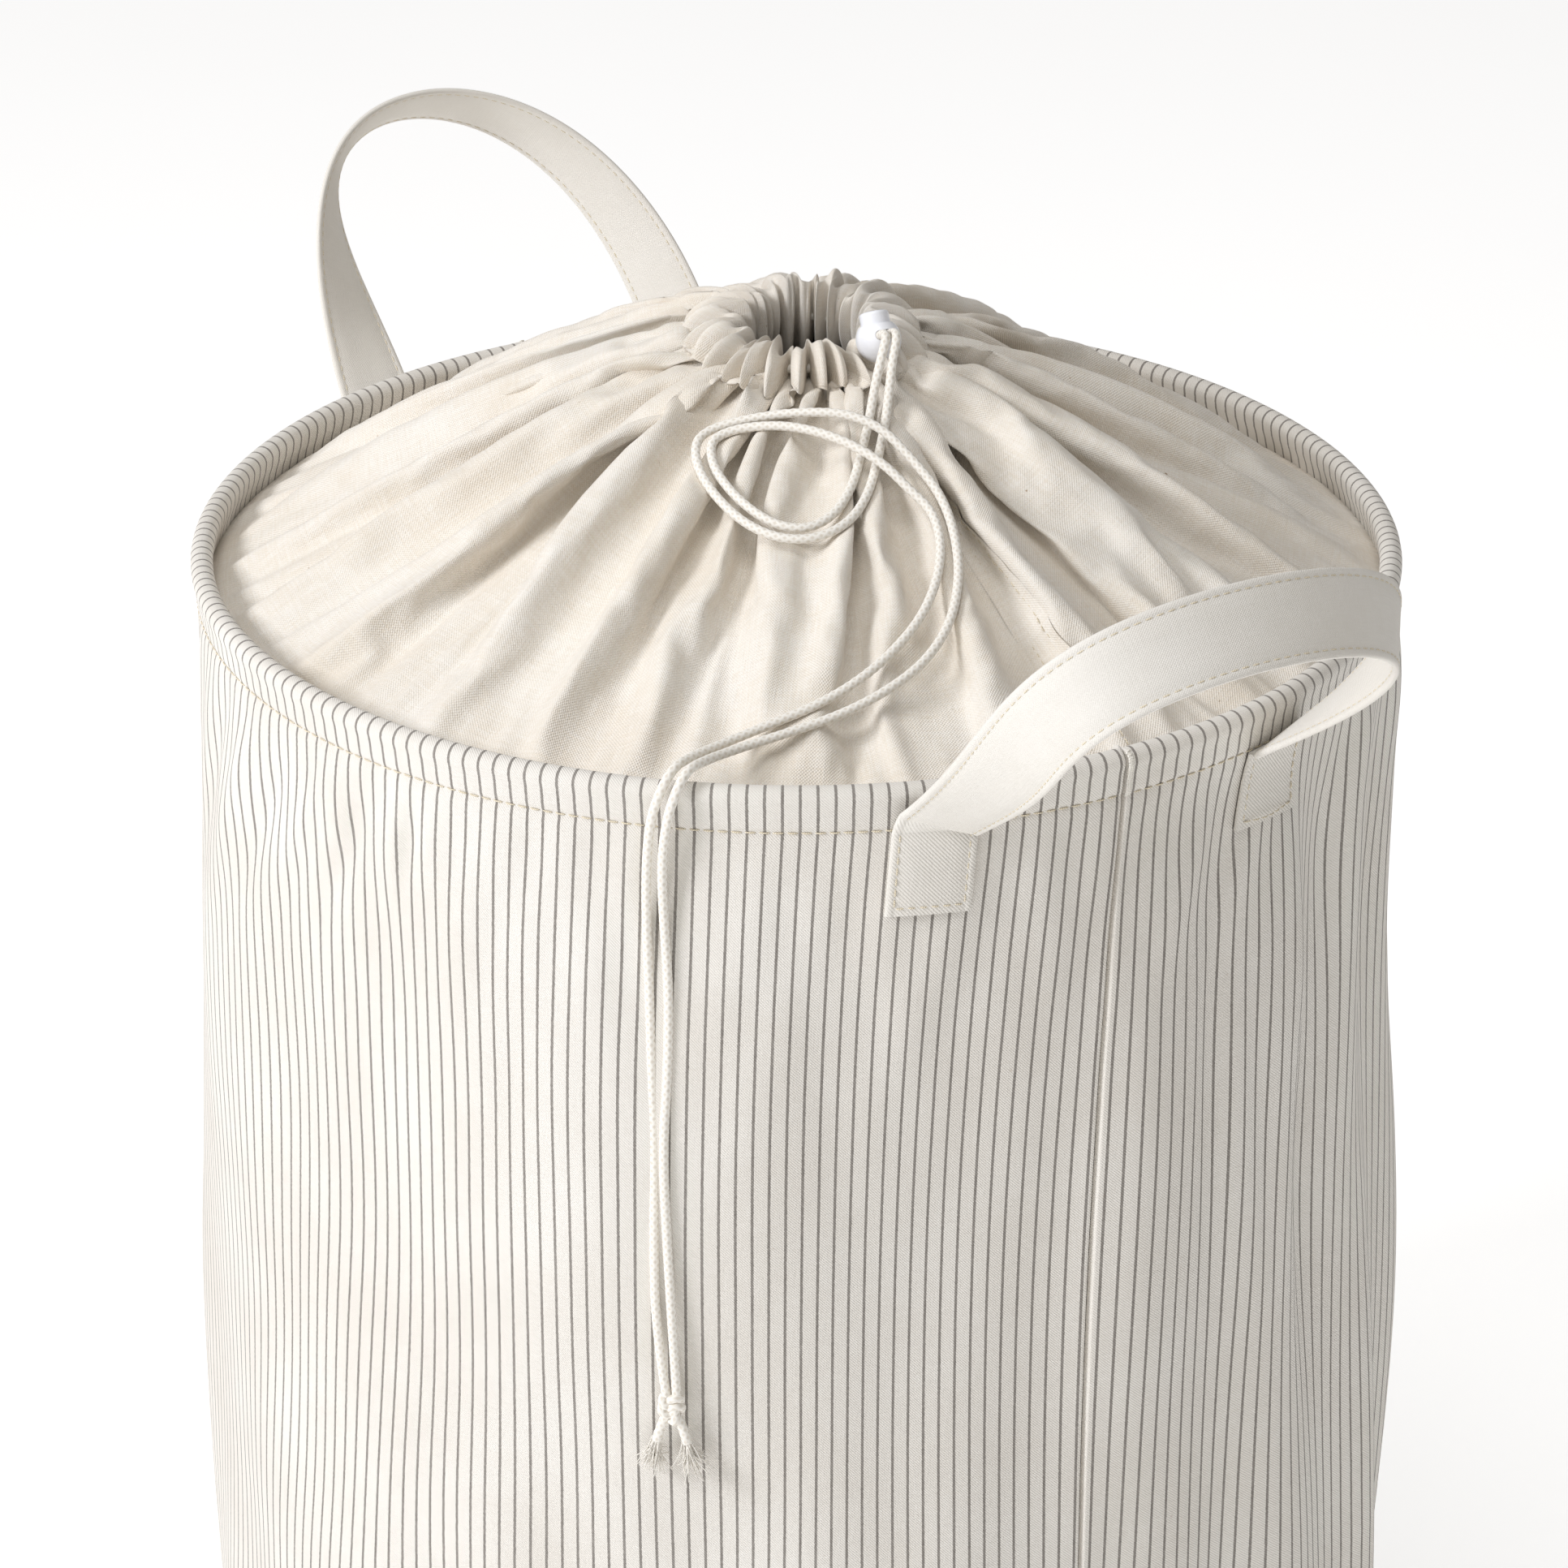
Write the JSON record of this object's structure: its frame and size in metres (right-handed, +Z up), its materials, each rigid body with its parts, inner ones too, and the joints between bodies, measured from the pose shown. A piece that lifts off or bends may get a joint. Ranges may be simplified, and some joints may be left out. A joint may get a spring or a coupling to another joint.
{
  "type": "laundry bag",
  "caption": "Round free-standing fabric laundry bag with a wired rim, a gathered drawstring collar closed by a cord lock, and strap handles on two sides.",
  "frame": {"origin": "centre of the underside, on the floor", "axes": "+Z up; the side seams and the two handles are on +X and -X; the cord lock and the cord tails are towards +X and -Y"},
  "size_m": [0.5926, 0.4434, 0.6384],
  "materials": {
    "striped_canvas": "cream cotton canvas with thin woven grey-brown stripes",
    "calico": "unbleached cotton calico",
    "webbing": "cream cotton canvas strap",
    "cord": "braided cotton cord",
    "lock_plastic": "white moulded plastic, satin",
    "spring_steel": "spring wire",
    "hoop_steel": "coated spring wire",
    "board": "stiffening board",
    "thread": "cotton sewing thread"
  },
  "bodies": {
    "bag": {"base_panel": "striped_canvas", "base_board": "board", "base_binding": "webbing", "front_panel": "striped_canvas", "back_panel": "striped_canvas", "front_side_seam": "striped_canvas", "back_side_seam": "striped_canvas", "rim_hem": "striped_canvas", "rim_hoop": "hoop_steel", "front_bar_tack": "thread", "back_bar_tack": "thread", "front_handle_end_left": "webbing", "front_handle_end_right": "webbing", "back_handle_end_left": "webbing", "back_handle_end_right": "webbing", "collar": "calico", "collar_seam": "calico", "drawcord_channel": "calico", "drawcord_loop": "cord", "drawcord_tail_left": "cord", "drawcord_tail_right": "cord", "drawcord_knot": "cord", "drawcord_brush_left": "cord", "drawcord_brush_right": "cord"},
    "lock": {"lock_body": "lock_plastic", "lock_spring": "spring_steel"},
    "plunger": {"lock_plunger": "lock_plastic"},
    "front_handle_loop": {"front_handle": "webbing"},
    "back_handle_loop": {"back_handle": "webbing"}
  },
  "joints": [
    {"name": "lock_slide", "type": "slide", "parent": "bag", "child": "lock", "axis": [0.8576, -0.1205, 0.5], "range_m": [0, 0.02], "deforming": ["drawcord_tail_left", "drawcord_tail_right"]},
    {"name": "plunger_press", "type": "slide", "parent": "lock", "child": "plunger", "axis": [0.4951, -0.0696, -0.866], "range_m": [0, 0.0016], "stiffness_N_per_m": 600, "springref_m": -0.0012, "deforming": ["lock_spring"]},
    {"name": "front_handle_swing", "type": "hinge", "parent": "bag", "child": "front_handle_loop", "pos_m": [0.207, 0, 0.537], "axis": [0, 1, 0], "range_deg": [-40, 100]},
    {"name": "back_handle_swing", "type": "hinge", "parent": "bag", "child": "back_handle_loop", "pos_m": [-0.207, 0, 0.537], "axis": [0, -1, 0], "range_deg": [-32, 110]}
  ]
}
